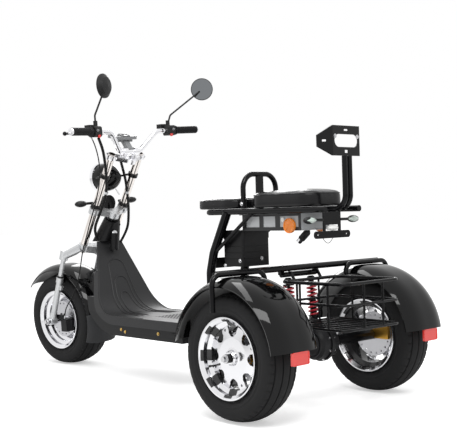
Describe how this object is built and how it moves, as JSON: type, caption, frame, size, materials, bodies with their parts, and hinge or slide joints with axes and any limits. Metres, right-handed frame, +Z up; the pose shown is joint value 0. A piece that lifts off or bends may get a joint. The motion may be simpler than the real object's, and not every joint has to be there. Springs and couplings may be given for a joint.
{
  "type": "three-wheeled electric scooter",
  "caption": "Upright electric scooter with one steered front wheel, two fendered rear wheels, step-through footboard, tandem seat pads, backrest bracket and rear wire basket.",
  "frame": {"origin": "on the ground under the middle of the vehicle's length, on its centre plane", "axes": "+X forward, +Y to the rider's left, +Z up"},
  "size_m": [2.0785, 0.9448, 1.3358],
  "materials": {
    "tyre_rubber": "matt moulded rubber",
    "polished_alloy": "machined and polished",
    "brushed_disc": "ground steel",
    "chrome": "bright plating",
    "silver_cast": "satin silver paint on cast alloy",
    "black_gloss": "high gloss black paint",
    "black_frame": "powder-coated black steel",
    "charcoal_plastic": "fine-grained moulded plastic",
    "black_plastic": "moulded plastic",
    "soft_grip": "ribbed soft rubber",
    "black_vinyl": "grained upholstery vinyl",
    "black_cast": "black painted casting",
    "gold_anodised": "gold anodised",
    "red_spring": "red powder-coated spring",
    "grey_box": "grey painted sheet steel",
    "orange_lens": "prismatic reflector plastic",
    "clear_lens": "clear moulded glass",
    "mirror_glass": "silvered glass",
    "white_lens": "frosted white plastic",
    "cable_sleeve": "rubber hose and wrapped cable",
    "red_lens": "prismatic reflector plastic"
  },
  "bodies": {
    "steering": {"fork_tubes": "chrome", "top_clamp": "chrome", "lower_clamp": "silver_cast", "fork_bridge": "silver_cast", "fork_sliders": "silver_cast", "front_axle": "chrome", "front_fender": "black_gloss", "front_mud_flap": "charcoal_plastic", "handlebar": "chrome", "grips": "soft_grip", "switch_housings": "black_plastic", "brake_levers": "black_frame", "mirrors": "black_plastic", "speedometer": "black_plastic", "headlight": "black_gloss", "front_turn_signals": "black_plastic", "horn": "black_frame", "front_caliper": "black_cast", "control_cables": "cable_sleeve", "headlight_ring": "chrome", "headlight_lens": "clear_lens", "mirror_glasses": "mirror_glass"},
    "front_wheel": {"front_tyre": "tyre_rubber", "front_rim": "polished_alloy", "front_disc": "brushed_disc"},
    "rear_left_wheel": {"rear_left_tyre": "tyre_rubber", "rear_left_rim": "polished_alloy", "rear_left_disc": "brushed_disc"},
    "rear_right_wheel": {"rear_right_tyre": "tyre_rubber", "rear_right_rim": "polished_alloy", "rear_right_disc": "brushed_disc"},
    "chassis": {"footboard": "charcoal_plastic", "battery_box": "charcoal_plastic", "main_frame": "black_frame", "neck_cover": "black_plastic", "rider_seat": "black_vinyl", "passenger_seat": "black_vinyl", "seat_rails": "black_frame", "seat_posts": "black_frame", "seat_hoop": "black_frame", "backrest_posts": "black_frame", "backrest_plate": "black_gloss", "electronics_tray": "grey_box", "controller_case": "black_plastic", "side_reflectors": "orange_lens", "tail_bracket": "black_frame", "rear_turn_signals": "black_plastic", "rear_fenders": "black_gloss", "fender_rails": "black_frame", "basket": "black_frame", "rear_reflectors": "red_lens", "rear_axle": "black_frame", "drive_motor": "black_cast", "rear_calipers": "gold_anodised", "rear_shocks": "red_spring", "rear_subframe": "black_frame", "swing_arm": "black_frame", "plate_lamp": "white_lens"}
  },
  "joints": [
    {"name": "steering_turn", "type": "hinge", "parent": "chassis", "child": "steering", "pos_m": [0.454, 0, 0.683], "axis": [-0.521, 0, 0.8536], "range_deg": [-41, 29]},
    {"name": "front_wheel_spin", "type": "hinge", "parent": "steering", "child": "front_wheel", "pos_m": [0.81071, 0.00647, 0.21682], "axis": [-0.0892, 0.9945, -0.0545], "continuous": true},
    {"name": "rear_left_wheel_spin", "type": "hinge", "parent": "chassis", "child": "rear_left_wheel", "pos_m": [-0.76, 0.356, 0.217], "axis": [0, 1, 0], "continuous": true},
    {"name": "rear_right_wheel_spin", "type": "hinge", "parent": "chassis", "child": "rear_right_wheel", "pos_m": [-0.76, -0.356, 0.217], "axis": [0, 1, 0], "continuous": true}
  ]
}
